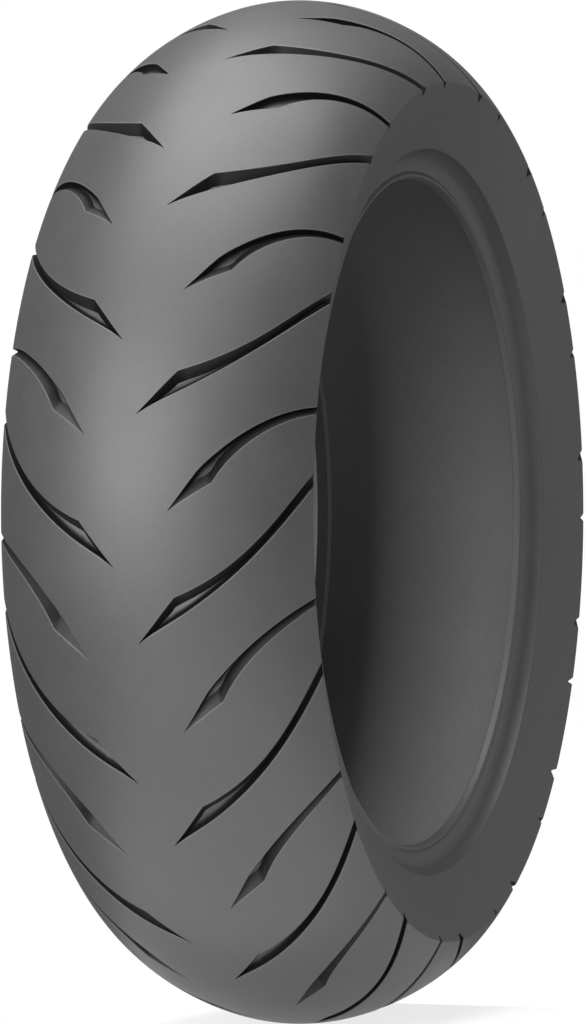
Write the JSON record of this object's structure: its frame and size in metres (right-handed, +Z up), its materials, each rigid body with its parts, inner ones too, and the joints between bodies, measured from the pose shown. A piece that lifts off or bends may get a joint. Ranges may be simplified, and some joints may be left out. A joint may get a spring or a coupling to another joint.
{
  "type": "motorcycle tire",
  "caption": "Tubeless motorcycle tire without its wheel: round grooved crown, plain conical sidewalls, lipped beads around an open rim hole.",
  "frame": {"origin": "centre of the tire, on the axle line and in the centre plane", "axes": "+Y along the axle towards the right-hand sidewall, +Z up, +X towards the front"},
  "size_m": [0.624, 0.191, 0.624],
  "materials": {
    "tread_rubber": "satin moulded",
    "base_rubber": "matt",
    "sidewall_rubber": "satin moulded",
    "liner_rubber": "smooth satin",
    "hard_rubber": "satin",
    "corded_rubber": "calendered cord",
    "bead_steel": "bronze-plated wire"
  },
  "bodies": {
    "root": {"tread_cap": "tread_rubber", "tread_base": "base_rubber", "belt": "corded_rubber", "belt_edge_strip_right": "base_rubber", "belt_edge_strip_left": "base_rubber", "inner_liner": "liner_rubber", "bead_core_right": "bead_steel", "bead_core_left": "bead_steel", "bead_filler_right": "hard_rubber", "bead_filler_left": "hard_rubber", "carcass_ply": "corded_rubber", "chafer_right": "hard_rubber", "chafer_left": "hard_rubber", "sidewall_right": "sidewall_rubber", "sidewall_left": "sidewall_rubber"}
  },
  "joints": []
}
